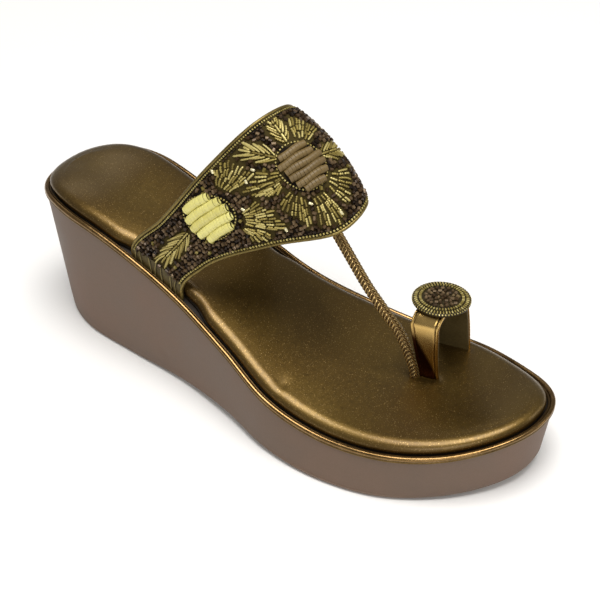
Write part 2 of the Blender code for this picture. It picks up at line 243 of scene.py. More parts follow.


# Olive leather of the strap's foot, with painted shade in its grooves and a painted highlight on
# its ridges
def foldFinish():
    look = Finish("foldLeather", (0.08, 0.06, 0.02), 0.45, 0.5)
    look.colourFrom(look.ramp(look.tinted(look.grain(300, 4), 0.3), (0.08, (0.010, 0.006, 0.002)),
                              (0.42, (0.060, 0.043, 0.010)), (0.95, (0.24, 0.19, 0.07))))
    look.relief(look.cells(1500), 0.06, 0.5)
    return look.material


def liningFinish():
    look = Finish("liningLeather", (0.045, 0.028, 0.014), 0.6)
    look.colourFrom(look.ramp(look.grain(60, 4), (0.3, (0.040, 0.024, 0.011)),
                              (0.7, (0.075, 0.048, 0.024))))
    look.relief(look.cells(1300), 0.08, 0.6)
    return look.material


# One colour for each bead, from its own tint, with a little clouding in the glass
def beadFinish(name, stops, roughness, metallic, coat, **sockets):
    look = Finish(name, stops[0][1], roughness, metallic, Coat_Weight=coat, Coat_Roughness=0.08,
                  **sockets)
    cloud = look.grain(900, 2)
    look.colourFrom(look.ramp(look.tinted(cloud, 0.22), *stops))
    look.roughnessFrom(cloud, roughness - 0.08, roughness + 0.1)
    return look.material


# Smooth stacked discs with a faint grain
def discFinish(name, dark, light, roughness, coat):
    look = Finish(name, dark, roughness, Coat_Weight=coat, Coat_Roughness=0.2)
    look.colourFrom(look.ramp(look.tinted(look.grain(420, 4), 0.35), (0.0, dark), (1.0, light)))
    look.relief(look.grain(1500, 2), 0.05, 0.4)
    return look.material


# Fine gilt wires laid along each strand, as sin(2 pi (5 around + 0.55 along)), with red-brown
# thread between them
def plaitFinish():
    look = Finish("giltPlait", (0.4, 0.25, 0.1), 0.3, 0.85)
    turn = look.add(look.times(look.attribute("around"), 5.0),
                    look.times(look.attribute("along"), 0.55))
    wave = look.sums("SINE", look.times(turn, 2 * math.pi), 0.0)
    level = look.sums("MULTIPLY_ADD", wave, 0.5)  # plus 0.5, the third input's own value
    fleck = look.grain(750, 2)
    look.colourFrom(look.ramp(look.add(look.times(level, 0.55), look.times(fleck, 0.8)),
                              (0.26, (0.040, 0.013, 0.006)), (0.48, (0.115, 0.064, 0.022)),
                              (0.80, (0.36, 0.25, 0.10))))
    look.relief(wave, 0.12, 0.9)
    return look.material


finishes = {
    "plumBead": beadFinish("plumBead", (
        (0.0, (0.009, 0.004, 0.001)), (0.35, (0.064, 0.037, 0.016)),
        (0.74, (0.215, 0.148, 0.078)), (0.86, (0.18, 0.14, 0.034))),
        0.34, 0.3, 0.08, Specular_IOR_Level=0.25),
    "giltBead": beadFinish("giltBead", (
        (0.0, (0.12, 0.085, 0.015)), (0.5, (0.35, 0.275, 0.070)), (1.0, (0.58, 0.495, 0.19))),
        0.43, 0.40, 0.05),
    "clearBead": beadFinish("clearBead", ((0.0, (0.50, 0.44, 0.22)), (1.0, (0.74, 0.68, 0.42))),
                            0.2, 0.3, 0.5),
    "brownDisc": discFinish("brownDisc", (0.105, 0.066, 0.018), (0.170, 0.112, 0.034), 0.5, 0.0),
    "creamDisc": discFinish("creamDisc", (0.54, 0.48, 0.12), (0.79, 0.74, 0.26), 0.30, 0.35),
    "edge": goldLeather("discLeather", (0.020, 0.013, 0.004), (0.050, 0.036, 0.010),
                        0.45, 0.5, 0.08),
    "loopInside": goldLeather("loopInside", (0.075, 0.052, 0.016), (0.12, 0.088, 0.03),
                              0.5, 0.4, 0.1),
    "fold": foldFinish(),
}


def unit(vectors):
    return vectors / np.linalg.norm(vectors, axis=-1, keepdims=True)


# Flat vectors turned a quarter to the left
def turnedLeft(ways):
    return np.stack([-ways[..., 1], ways[..., 0]], -1)


def smoothStep(value):
    value = np.clip(value, 0, 1)
    return value * value * (3 - 2 * value)


# A bell's height: 1 in the middle, exp(-1) at the given distance from it
def bell(away, reach):
    return np.exp(-((away / reach) ** 2))


# Angles of a full turn, in even steps from 0
def fullTurn(steps):
    return np.linspace(0, 2 * math.pi, steps, endpoint=False)


# Distances run along a line, from its first point
def runAlong(line):
    return np.concatenate([[0], np.cumsum(np.linalg.norm(np.diff(line, axis=0), axis=1))])


# Quads between neighbouring points of a grid stored row by row
def gridFaces(rows, columns, closeColumns=False):
    row, column = np.meshgrid(np.arange(rows - 1),
                              np.arange(columns if closeColumns else columns - 1), indexing="ij")
    after = (column + 1) % columns
    quads = np.stack([row * columns + column, (row + 1) * columns + column,
                      (row + 1) * columns + after, row * columns + after], -1)
    return quads.reshape(-1, 4)


# Quads round a tube of rings, and triangles from its end rings to one more point each
def tubeFaces(rows, sides):
    k = np.arange(sides)
    after, total = (k + 1) % sides, rows * sides
    ends = np.concatenate([np.stack([k, after, 0 * k + total], -1),
                           np.stack([after - sides, k - sides, 0 * k + 1], -1) + total])
    return gridFaces(rows, sides, True)[:, ::-1], ends


# The same faces for each of several copies of size points
def copiedFaces(faces, count, size):
    return (faces[None] + (np.arange(count) * size)[:, None, None]).reshape(-1, faces.shape[1])


# A mesh from whole arrays: points in millimetres, and groups of faces of one size each
def makePiece(name, points, faceGroups, material, slot, nodes=(), weld=False, sharp=None,
              attributes=()):
    mesh = bpy.data.meshes.new(name)
    points = np.asarray(points, float).reshape(-1, 3) * mm
    mesh.vertices.add(len(points))
    mesh.vertices.foreach_set("co", points.astype(np.float32).ravel())
    corners = np.concatenate([group.ravel() for group in faceGroups])
    sizes = np.concatenate([np.full(len(group), group.shape[1]) for group in faceGroups])
    starts = np.concatenate([[0], np.cumsum(sizes)[:-1]])
    mesh.loops.add(len(corners))
    mesh.loops.foreach_set("vertex_index", corners.astype(np.int32))
    mesh.polygons.add(len(sizes))
    mesh.polygons.foreach_set("loop_start", starts.astype(np.int32))
    mesh.update(calc_edges=True)
    for key, values in dict(attributes).items():
        layer = mesh.attributes.new(key, "FLOAT", "POINT")
        layer.data.foreach_set("value", np.asarray(values, np.float32).ravel())
    if weld:
        work = bmesh.new()
        work.from_mesh(mesh)
        bmesh.ops.remove_doubles(work, verts=work.verts, dist=2e-6)
        bmesh.ops.dissolve_degenerate(work, dist=1e-7, edges=work.edges)
        bmesh.ops.recalc_face_normals(work, faces=work.faces)
        work.to_mesh(mesh)
        work.free()
    mesh.shade_smooth()
    if sharp:
        mesh.set_sharp_from_angle(angle=math.radians(sharp))
    mesh.materials.append(material)
    piece = addThing(name, mesh)
    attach(piece, "root")
    if nodes:
        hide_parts(*nodes)
    return piece


# A sheet of two grids of the same size, closed round its four edges
def closedSheet(top, under):
    rows, columns = top.shape[:2]
    points = np.concatenate([top, under[:, ::-1]], axis=1)
    k = np.arange(columns - 1)
    first = np.stack([k, k + 1, 2 * columns - 2 - k, 2 * columns - 1 - k], -1)
    last = first[:, ::-1] + (rows - 1) * 2 * columns
    return points.reshape(-1, 3), [gridFaces(rows, 2 * columns, True), first, last]


# The values for both sides of a closed sheet, from those of its top
def bothSides(values):
    return np.concatenate([values, values[:, ::-1]], axis=1)


# Round section carried along a path and closed by a point at each end. Point = path + radius *
# (cos a * side + flat * sin a * lift); side and lift are square to the path, and lift is near up
def tube(path, radius, sides, up, flat):
    run = unit(np.gradient(path, axis=0))
    side = unit(np.cross(run, up))
    lift = np.cross(side, run)
    turn = fullTurn(sides)[None, :, None]
    ring = path[:, None] + radius * (np.cos(turn) * side[:, None]
                                     + flat * np.sin(turn) * lift[:, None])
    points = np.concatenate([ring.reshape(-1, 3), path[:1], path[-1:]])
    return points, *tubeFaces(len(path), sides)


# A bead round the X axis: radius = (1 - |x|^power)^(1/power), with x from -1 to 1
def barrel(sides, power, rings):
    turn, along = fullTurn(sides), np.array(rings)
    radius = (1 - np.abs(along) ** power) ** (1 / power)
    grid = np.stack([np.broadcast_to(along[:, None], (len(rings), sides)),
                     radius[:, None] * np.cos(turn), radius[:, None] * np.sin(turn)], -1)
    points = np.concatenate([grid.reshape(-1, 3), [(-1, 0, 0), (1, 0, 0)]])
    return points, *tubeFaces(len(rings), sides)


# Beads of one shape as one piece: point = place + size * (x, y, z of the shape) on its axes
def makeBeads(name, shape, places, axes, sizes, tint, finish, **settings):
    points, *faceGroups = shape
    local = points[None] * np.asarray(sizes)[:, None, :]
    placed = places[:, None, :] + np.einsum("nki,nij->nkj", local, axes)
    faces = [copiedFaces(group, len(places), len(points)) for group in faceGroups]
    makePiece(name, placed, faces, finishes[finish], "beaded_strap",
              attributes={"tint": np.repeat(tint, len(points))}, **settings)


# Cubic Hermite curve through column k of a table, over its first column
def curveThrough(rows, k, place):
    at, value = (np.array([row[column] for row in rows], float) for column in (0, k))
    slope = np.gradient(value, at)
    place = np.clip(place, at[0], at[-1])
    cell = np.clip(np.searchsorted(at, place, side="right") - 1, 0, len(at) - 2)
    width = at[cell + 1] - at[cell]
    t = (place - at[cell]) / width
    return ((1 + 2 * t) * (1 - t) ** 2 * value[cell] + t * (1 - t) ** 2 * width * slope[cell]
            + t * t * (3 - 2 * t) * value[cell + 1] - t * t * (1 - t) * width * slope[cell + 1])


# The same curve through points: each row is a place on the curve and its x, y and z
def lineThrough(rows, place):
    return np.stack([curveThrough(rows, k, place) for k in (1, 2, 3)], -1)


sole = {
    "length": 250.0,
    "heelRound": (41.5, 2.3), "toeRound": (61.0, 2.2),  # reach and power of each end's curve
    "columns": ("share", "centre", "half", "rim", "floor", "tuck"),
    "rows": (
        (0.00, -6.4, 30.0, 62.4, 0.0, 6.6),
        (0.08, -6.7, 30.3, 66.0, 0.0, 4.8),
        (0.16, -7.1, 30.9, 65.4, 0.0, 3.3),
        (0.26, -7.2, 30.7, 59.7, 0.0, 2.4),
        (0.38, -7.4, 30.7, 49.0, 1.6, 1.4),
        (0.50, -7.6, 34.2, 36.9, 3.0, 0.0),
        (0.60, -5.1, 41.0, 26.7, 1.4, -1.5),
        (0.70, -1.1, 44.0, 21.3, 0.0, -2.8),
        (0.80, 3.2, 43.6, 20.9, 0.0, -2.0),
        (0.90, 7.5, 40.7, 23.4, 1.4, 0.5),
        (1.00, 13.3, 37.0, 29.8, 4.6, 2.8),
    ),
    "stations": 260,
    "wallBack": 1.0,  # the wall's distance in from the rim
    "chamfer": (1.8, 2.0),  # the underside's eased edge, across and up
    "rimEase": 0.15, "topEase": 0.6,
    "wallRings": 26, "flatRings": 9,
    # place along Y and up, radius and depth of a dimple, and the X that it lies beyond
    "pinch": (40.0, 13.0, 2.6, 0.3, -20.0),
}

footbed = {
    "inset": 3.9, "edge": 6.4, "round": (5.6, 4.2), "pillow": 0.5,
    "base": (0.8, 0.9),  # how far the underside lies in, and the wall's foot up
    "wallTop": 2.0,  # the presses and the dent are above this height
    "lip": 2.0, "lipReach": 0.22,  # how far the rolled edge leans out round the heel
    "cup": 1.2, "cupReach": 0.34, "crownFade": 40.0,
    "notch": 2.0, "notchBehind": 1.0, "notchAhead": 5.0, "notchEase": 10.0,
    "dent": (-27.0, 2.4, 4.0, 0.55),  # place along Y, reach along and across, and depth
    "press": (0.54, 2.4, 2.8),  # depth where the toe's pieces go in, and radii at leg and cord
    "pressIn": 1.5,  # from a leg's edge to the middle of its last press
    "shade": (0.5, 2.3),  # foot and height of the wall's painted shade
}

piping = {
    "sides": 18,
    # name, place in from the rim, height, radius, replaced nodes, finish
    "rolls": (
        ("pipingRoll", 1.3, 1.3, 1.2, ["rim_piping"],
         ("pipingGilt", (0.13, 0.076, 0.025), (0.27, 0.165, 0.066), 0.22, 0.95, 0.02)),
        # its finish is darkened partly as painted shade of the groove
        ("pipingLine", 2.75, 1.1, 0.55, [],
         ("pipingShade", (0.05, 0.028, 0.010), (0.11, 0.068, 0.024), 0.35, 0.8, 0.04)),
        ("pipingFoot", 0.85, 0.0, 0.7, [],
         ("pipingUnder", (0.09, 0.055, 0.018), (0.18, 0.115, 0.04), 0.35, 0.9, 0.03)),
    ),
}

strapFeet = {"outer": (68.5, 97.0), "inner": (70.0, 102.0)}  # from the heel: back, front


def soleCurve(name, share):
    return curveThrough(sole["rows"], sole["columns"].index(name), share)


def shareOf(y):
    return np.clip(0.5 - y / sole["length"], 0, 1)


# Height of the rim at this Y
def rimAt(y):
    return soleCurve("rim", shareOf(y))


# A superellipse's quarter: 0 at the end, 1 from the reach on
def rounding(distance, reach, power):
    inside = np.clip(1 - distance / reach, 0, 1)
    return (1 - inside**power) ** (1 / power)


# Outline of the rim, heel - outer side - toe - inner side: centre line -+ half width, rounded to
# nothing at both ends by superellipses, with stations by the cosine of a turn
def rimRing():
    share = (1 - np.cos(np.linspace(0, math.pi, sole["stations"] + 1))) / 2
    along = share * sole["length"]
    half = (soleCurve("half", share) * rounding(along, *sole["heelRound"])
            * rounding(sole["length"] - along, *sole["toeRound"]))
    centre, y = soleCurve("centre", share), sole["length"] / 2 - along
    outer, inner = np.column_stack([centre - half, y]), np.column_stack([centre + half, y])
    ring = np.concatenate([outer, inner[1:-1][::-1]])
    ring[:, 0] -= (ring[:, 0].min() + ring[:, 0].max()) / 2
    return ring


rim = rimRing()


# The rim moved along its own normal by inset
def inward(inset):
    run = unit(np.roll(rim, -1, axis=0) - np.roll(rim, 1, axis=0))
    return rim + turnedLeft(run) * np.reshape(inset, (-1, 1))


# A ring in space: height = floor + (rim - floor) * rise + up
def level(inset, rise, up=0.0):
    ring = inward(inset)
    share = shareOf(ring[:, 1])
    floor, top = np.maximum(soleCurve("floor", share), 0), soleCurve("rim", share)
    return np.column_stack([ring, floor + (top - floor) * rise + up])


# X of the inset rim at this Y, outer side -1 or inner side +1
def sideX(y, side, inset):
    ring = inward(inset)
    count = sole["stations"] + 1
    half = ring[:count] if side < 0 else np.roll(ring[::-1], 1, axis=0)[:count]
    return np.interp(-y, -half[:, 1], half[:, 0])


def middleOf(ring):
    return (ring + np.roll(ring[::-1], 1, axis=0)) / 2


# Rings shrunk from an outline to its middle line: point = middle + share * (ring - middle)
def filled(ring, shares):
    middle = middleOf(ring)
    return [middle + (ring - middle) * share for share in shares]


# Underside, eased edge, wall and top, as rings one above another. The wall's tuck is whole at
# its foot and fades evenly to nothing at the rim
def makeWedge():
    tuck = soleCurve("tuck", shareOf(rim[:, 1]))
    back, (ease, easeTop), flat = sole["wallBack"], sole["chamfer"], sole["flatRings"]
    rings = filled(level(back + tuck + ease, 0), np.linspace(0, 1, flat))
    rings += [level(back + tuck + ease * (1 - math.sin(a)), 0, easeTop * (1 - math.cos(a)))
              for a in np.radians((18, 36, 54, 72, 90))]
    rings += [level(back + (1 - rise) * tuck, rise)
              for rise in np.linspace(0.1, 0.98, sole["wallRings"])]
    rings += [level(back + sole["rimEase"], 1, -sole["rimEase"])]
    rings = np.array(rings + filled(level(back + sole["topEase"], 1), np.linspace(1, 0, flat)))
    y0, z0, radius, depth, beyond = sole["pinch"]
    away = np.hypot(rings[..., 1] - y0, rings[..., 2] - z0)
    rings[..., 0] += depth * bell(away, radius) * (rings[..., 0] < beyond)
    # Painted shade: the top's rings, which the pad covers, get a nearly black colour
    inside = np.zeros(rings.shape[:2])
    inside[-flat:] = 1
    makePiece("wedgeSole", rings, [gridFaces(len(rings), len(rim), True)], wedgeFinish(),
              "mauve_wedge", ["wedge_sole"], weld=True, sharp=40, attributes={"inside": inside})


# A gilt roll, a thin roll low in the groove beside it, darker partly as painted shade of the
# groove, and a dull one under its edge, round the whole rim: inset = place - radius * cos a,
# height = up + radius * sin a
def makePiping():
    turn = fullTurn(piping["sides"])
    for name, middle, up, radius, nodes, finish in piping["rolls"]:
        rings = np.array([level(middle - radius * math.cos(a), 1, gap + up + radius * math.sin(a))
                          for a in turn]).transpose(1, 0, 2)
        makePiece(name, np.concatenate([rings, rings[:1]]),
                  [gridFaces(len(rim) + 1, len(turn), True)], goldLeather(*finish),
                  "gold_leather", nodes, weld=True)


# 1 where the strap goes down beside the pad, and 0 elsewhere, with soft ends
def strapWindow(y, side):
    heel, toe = (np.where(side < 0, strapFeet["outer"][k], strapFeet["inner"][k]) for k in (0, 1))
    along = sole["length"] / 2 - y
    run = np.maximum(heel - along - footbed["notchBehind"], along - toe - footbed["notchAhead"])
    return 1 - smoothStep(run / footbed["notchEase"])


# Padded top: a rolled edge, inset = across (1 - cos a) - lip sin 2a and drop = up (1 - sin a),
# and a middle with a crown, pillow (1 - s^4), less a heel cup, cup cos(pi s / 2)^2
def makeFootbed():
    side = np.where(np.arange(len(rim)) <= sole["stations"], -1, 1)
    inset = footbed["inset"] + footbed["notch"] * strapWindow(rim[:, 1], side)
    lip = footbed["lip"] * (1 - smoothStep(shareOf(rim[:, 1]) / footbed["lipReach"]))
    (across, up), (baseIn, wallUp) = footbed["round"], footbed["base"]
    rings = filled(level(inset + baseIn, 1, gap), np.linspace(0, 1, 5))
    rings.append(level(inset, 1, gap + wallUp))
    for turn in np.radians(np.linspace(0, 90, 13)):
        height = footbed["edge"] - up * (1 - math.sin(turn))
        rings.append(level(inset + across * (1 - math.cos(turn)) - lip * math.sin(2 * turn), 1,
                           gap + height))
    edge = rings[-1]
    breadth = 2 * np.linalg.norm(edge - middleOf(edge), axis=1)
    fade = smoothStep(breadth / footbed["crownFade"])
    cup = footbed["cup"] * np.maximum(0, 1 - shareOf(edge[:, 1]) / footbed["cupReach"])
    shares = np.linspace(1, 0, 34)[1:]
    for s, ring in zip(shares, filled(edge, shares)):
        crown = footbed["pillow"] * (1 - s**4) - cup * math.cos(math.pi * s / 2) ** 2
        ring[:, 2] += fade * crown
        rings.append(ring)
    rings = np.array(rings)
    y0, reachAlong, reachAcross, depth = footbed["dent"]
    top = rings[..., 2] > rimAt(rings[..., 1]) + gap + footbed["wallTop"]
    outerEdge = bell(rings[..., 0] - edge[:, 0], reachAcross) * (side < 0)
    rings[..., 2] -= top * depth * outerEdge * bell(rings[..., 1] - y0, reachAlong)
    for x, y, radius in pressPlaces():
        away = np.hypot(rings[..., 0] - x, rings[..., 1] - y)
        rings[..., 2] -= top * footbed["press"][0] * bell(away, radius)
    # Painted shade: the pad's wall darkens towards its foot over the given height
    low, tall = footbed["shade"]
    shade = 1 - smoothStep((rings[..., 2] - rimAt(rings[..., 1]) - gap - low) / tall)
    piece = makePiece("footbedPad", rings, [gridFaces(len(rings), len(rim), True)],
                      footbedFinish(), "bronze_leather", ["footbed"], weld=True,
                      attributes={"shade": shade})


strap = {
    "hem": 5.0, "inset": 3.66, "raise": 0.45, "out": (0, -0.78, 0.62),
    # share of the way round, back edge's x, y and z, front edge's x, y and z, and swell
    "rows": (
        (0.10, -30.6, 42.3, 82.9, -29.8, 19.4, 67.1, 1.8),
        (0.26, -19.5, 24.7, 110.6, -18.7, -7.8, 84.6, 5.4),
        (0.42, -4.6, 12.3, 128.6, -5.0, -32.3, 94.4, 4.4),
        (0.58, 15.5, 10.0, 128.8, 15.2, -32.2, 98.2, 5.0),
        (0.74, 27.7, 18.1, 112.6, 22.2, -13.3, 88.4, 7.6),
        (0.90, 25.8, 39.0, 83.8, 22.6, 12.2, 66.6, 2.4),
    ),
    "cloth": 0.8, "lining": 0.9,  # thicknesses
    "clothSteps": (260, 80), "clothIn": 1.2,  # steps around and across, and its narrower width
    "leafReach": (0.9, 1.6),  # the cloth's colour fades from and over these distances
    # the rolled edge's radius, height by its breadth, place down and in, and ends
    "edgeRoll": 0.78, "edgeFlat": 1.15, "edgeDrop": 0.45, "edgeShare": 0.85, "edgeEnd": 0.2,
    "chainIn": 2.1,  # the edge chain's distance from the strap's edge
}

strapFolds = {
    "top": (5.9, 7.8, 8.8), "over": 0.9,  # the plain foot's height at the back, middle and front
    "thick": 0.8, "narrower": 2.0,
    "pitch": 4.0, "grooveAway": 0.62,
    "slant": (1.9, 0.8, 0.55, 0.35, 5.0),  # slant = a up^2 + b sin(c w) + d sin(e up + w)
    "widths": (0.30, 0.26),  # of a ridge and of the groove beside it
    "heights": (0.42, 0.34, -0.30, 0.12),  # of the leather, ridge, groove and wave
    "tones": (0.45, 0.55, -0.45),  # of the leather, the ridge's painted highlight and the groove's painted shade
}


def strapFoot(name, which):
    y = sole["length"] / 2 - strapFeet[name][which]
    x = sideX(y, -1 if name == "outer" else 1, strap["inset"])
    return np.array([x, y, float(rimAt(y)) + strap["raise"]])


# The back (0) or front (1) edge from foot to foot, by Hermite curves through the rows
def strapEdge(which, around):
    outer, inner = strapFoot("outer", which), strapFoot("inner", which)
    hem = np.array([0, 0, strap["hem"]])
    first = 1 + 3 * which
    rows = [(0, *outer), (0.02, *(outer + hem))]
    rows += [(row[0], *row[first:first + 3]) for row in strap["rows"]]
    return lineThrough(rows + [(0.98, *(inner + hem)), (1, *inner)], around)


swellRows = [(0, 0)] + [(row[0], row[-1]) for row in strap["rows"]] + [(1, 0)]


# Point = back (1 - f) + front f + 4 f (1 - f) swell * out, for arrays of around and f
def strapPoint(around, front):
    f = front[..., None]
    swell = curveThrough(swellRows, 1, around)[..., None]
    return (strapEdge(0, around) * (1 - f) + strapEdge(1, around) * f
            + 4 * f * (1 - f) * swell * np.array(strap["out"]))


# The strap as a flat sheet: distance along its middle line, and width, against the way round
aroundTable = np.linspace(0, 1, 801)
arcTable = runAlong(strapPoint(aroundTable, np.full(801, 0.5)))
acrossTable = strapPoint(*np.meshgrid(aroundTable, np.linspace(0, 1, 41), indexing="ij"))
widthTable = np.linalg.norm(np.diff(acrossTable, axis=1), axis=2).sum(1)
strapLength = arcTable[-1]


def widthAt(arc):
    return np.interp(arc, arcTable, widthTable)


# Point of the strap at arc along its middle line and w across, back edge negative
def onSheet(arc, w):
    around = np.interp(arc, arcTable, aroundTable)
    return strapPoint(around, 0.5 + np.asarray(w) / widthAt(arc))


# Points raised off the sheet, and unit vectors along, across and outwards there
def sheetFrame(arc, w, lift=0.0):
    arc, w = np.broadcast_arrays(np.asarray(arc, float), np.asarray(w, float))
    step = 0.25
    lo, hi = np.clip(arc - step, 0, strapLength), np.clip(arc + step, 0, strapLength)
    along = unit(onSheet(hi, w) - onSheet(lo, w))
    across = unit(onSheet(arc, w + step) - onSheet(arc, w - step))
    out = unit(np.cross(across, along))
    across = np.cross(along, out)
    return onSheet(arc, w) + out * np.asarray(lift)[..., None], along, across, out


# Cloth and lining: the sheet, and the same sheet moved in by the thickness
def makeStrapCloth(near, away):
    steps, breadth = strap["clothSteps"]
    around = np.linspace(0, 1, steps)
    arc = np.interp(around, aroundTable, arcTable)[:, None] + np.zeros(breadth)
    w = np.linspace(-0.5, 0.5, breadth) * (widthAt(arc[:, :1]) - strap["clothIn"])
    top, _, _, out = sheetFrame(arc, w)
    points, faces = closedSheet(top, top - out * strap["cloth"])
    apart = strandDistance(arc.ravel(), w.ravel(), near, away).reshape(arc.shape)
    start, fade = strap["leafReach"]
    close = bothSides(1 - smoothStep((apart - start) / fade))
    makePiece("strapCloth", points, faces, clothFinish(), "beaded_strap", ["instep_strap"],
              weld=True, sharp=60, attributes={"leafNear": close})
    points, faces = closedSheet(top - out * (strap["cloth"] + 0.05),
                                top - out * (strap["cloth"] + strap["lining"]))
    makePiece("strapLining", points, faces, liningFinish(), "beaded_strap", weld=True, sharp=60)


# A rolled edge: a flattened tube along each edge of the strap, from foot to foot
def makeStrapEdges():
    material = goldLeather("edgeGilt", (0.13, 0.095, 0.026), (0.26, 0.195, 0.060), 0.36, 0.75,
                           0.08)
    radius = strap["edgeRoll"]
    for name, side in (("strapEdgeBack", -1), ("strapEdgeFront", 1)):
        arc = np.linspace(strap["edgeEnd"], strapLength - strap["edgeEnd"], 420)
        w = widthAt(arc) / 2 - radius * strap["edgeShare"]
        path, _, _, out = sheetFrame(arc, side * w, -strap["edgeDrop"])
        points, *faces = tube(path, radius, 14, out, strap["edgeFlat"])
        makePiece(name, points, faces, material, "beaded_strap", weld=True)


# Plain leather at each foot, with slanting folds running up it: lift = leather + ridge - groove
# beside it + a cosine wave from fold to fold
def makeStrapFeet():
    pitch, (ridgeWide, grooveWide) = strapFolds["pitch"], strapFolds["widths"]
    a, b, c, d, e = strapFolds["slant"]
    for name, start, way in (("strapFootOuter", 0.0, 1), ("strapFootInner", strapLength, -1)):
        up = np.linspace(0, 1, 28)[:, None]
        share = np.linspace(-0.5, 0.5, 190)[None]
        height = np.interp(share, (-0.5, 0, 0.5), strapFolds["top"]) + strapFolds["over"]
        w = share * (widthAt(start) - strapFolds["narrower"]) + 0 * up
        slant = a * up**2 + b * np.sin(c * w) + d * np.sin(e * up + w)
        place = ((w + slant) / pitch + 0.5) % 1 * pitch - pitch / 2
        ridge, groove = bell(place, ridgeWide), bell(place - strapFolds["grooveAway"], grooveWide)
        wave = np.cos(2 * math.pi * (place - pitch / 2) / pitch)
        lift = sum(h * v for h, v in zip(strapFolds["heights"], (1, ridge, groove, wave)))
        top, _, _, out = sheetFrame(start + way * up * height, w, lift)
        points, faces = closedSheet(top, top - out * strapFolds["thick"])
        # Painted highlight on each ridge and painted shade in each groove, added to the leather's
        # own tone
        toneWithPaintedLight = sum(h * v for h, v in zip(strapFolds["tones"], (1, ridge, groove)))
        makePiece(name, points, faces, finishes["fold"], "beaded_strap", weld=True, sharp=60,
                  attributes={"tint": bothSides(toneWithPaintedLight)})


medallions = (
    # name, centre along and across, half length, half width, rows, disc length, slope and skew
    ("brown", 94.0, -2.4, 8.2, 8.0, 6, 1.5, 0.03, 1.0),
    ("creamOuter", 47.4, -2.8, 10.2, 7.8, 5, 1.75, -0.03, 0.0),
    ("creamInner", strapLength - 47.4, -2.8, 10.2, 7.8, 5, 1.75, 0.03, 0.0),
)

discRows = {
    "border": (1.3, 2.7),  # from the discs to the ring of beads, along and across
    "room": (0.4, 1.8),  # the same distances to where other beads may lie
    "rise": 0.95, "wide": 0.525, "thick": 1.5, "endSize": 0.9,
    "lengths": (0.4, 1.6),  # of the cream discs, against each other
    "bow": (0.6, 0.9, 2.6),  # w = a - b cos(pi * distance from the middle / (c * half length))
}

# Discs: the barrel's power and half its rings, a row's shift and wave, a disc's fill of its own
# place, and how loose the discs lie
discKinds = {
    "brown": (30.0, (0.85, 0.95, 0.985), 0.9, 0.22, 0.535, 0.008),
    "cream": (14.0, (0.75, 0.92, 0.98), 0.4, 0.08, 0.51, 0.018),
}

# Feathered leaves: base and tip on the sheet, the strands' angle at the base, and length
feathers = (
    (88.2, -11.6, 79.6, -21.8, 34, 7.2),
    (95.6, -14.6, 98.2, -27.6, 34, 5.8),
    (103.0, -2.6, 118.0, 1.4, 32, 6.4),
    (33.6, -2.4, 11.0, 1.0, 24, 8.4),
    (132.0, -6.0, 119.0, -8.5, 34, 5.6),
    (134.0, 5.0, 119.5, 10.5, 34, 6.0),
)

# Sprays: start line, end line, rays, and how far they curl to one side
sprays = (
    ((60.2, -12.2), (61.6, -7.8), (69.4, -26.0), (80.4, -9.8), 11, 0.06),
    ((99.4, -13.8), (103.2, -10.0), (104.6, -24.0), (114.6, -11.0), 9, -0.05),
    ((97.0, 8.8), (101.2, 5.0), (99.4, 23.0), (112.0, 9.0), 8, 0.04),
    ((89.6, 9.4), (94.0, 9.6), (86.0, 23.0), (97.0, 27.0), 7, -0.03),
    ((83.4, 3.0), (86.8, 8.2), (74.4, 6.6), (83.4, 24.4), 9, 0.03),
    ((86.0, -5.6), (84.2, -3.2), (77.4, -11.6), (64.6, -4.2), 5, -0.06),
    ((84.0, -3.0), (82.2, -0.2), (64.6, -2.4), (79.0, 3.6), 7, -0.05),
    ((60.4, 2.4), (58.6, 6.6), (71.6, -0.6), (75.8, 20.4), 11, 0.04),
    ((56.8, 8.2), (58.6, 8.8), (58.0, 17.4), (70.6, 20.4), 6, -0.05),
)

strands = {
    "pairPitch": 1.75, "veinLength": 4.6, "sprayLength": (3.3, 4.8),
    "steps": 17, "sides": 6, "thick": (0.46, 0.56),
    "swellings": 1.05, "beaded": 0.75, "necks": (0.34, 0.08),
    "rise": 0.42, "arch": 0.16,
    "room": 0.8, "medallionRoom": 0.2, "cuts": (0.75, 0.55),
    "mirrorUnder": 65,  # leaves that begin before this place are on the inner side as well
}

glints = {
    "places": ((65.2, -18.6), (77.7, -11.4), (71.9, -8.3), (62.5, 1.3), (87.5, 11.5),
               (95.5, 21.3), (73.9, 17.4)),
    "mirrored": 4,  # as many of them are on the inner side as well
    "size": (0.98, 0.6, 0.6), "rise": 0.95,
}

seeds = {
    "rowPitch": 1.8, "pitch": 1.95, "shake": (0.45, 0.35), "rise": (0.3, 0.55), "lean": 0.28,
    "length": (0.78, 1.15), "width": (0.74, 0.88),
    "clear": 1.1, "footRoom": 0.4, "medallionRoom": 1.7,  # from strands, feet and medallions
    "plum": (0.0, 0.62), "olive": 0.9,  # tints
    "oliveNear": 9, "oliveShares": (0.05, 0.03),  # near the medallions, and elsewhere
}

chains = {
    # strap's side, pitch and size of the gilt beads along its edge
    "edges": ((-1, 1.15, 0.46), (1, 1.4, 0.54)),
    "darkIn": 1.2, "dark": (1.7, 0.45), "ring": (1.35, 0.42), "spread": 0.06,
    # piece, finish and tints
    "pieces": (("giltChains", "giltBead", (0.45, 0.9)), ("plumChains", "plumBead", (0.0, 0.3))),
}


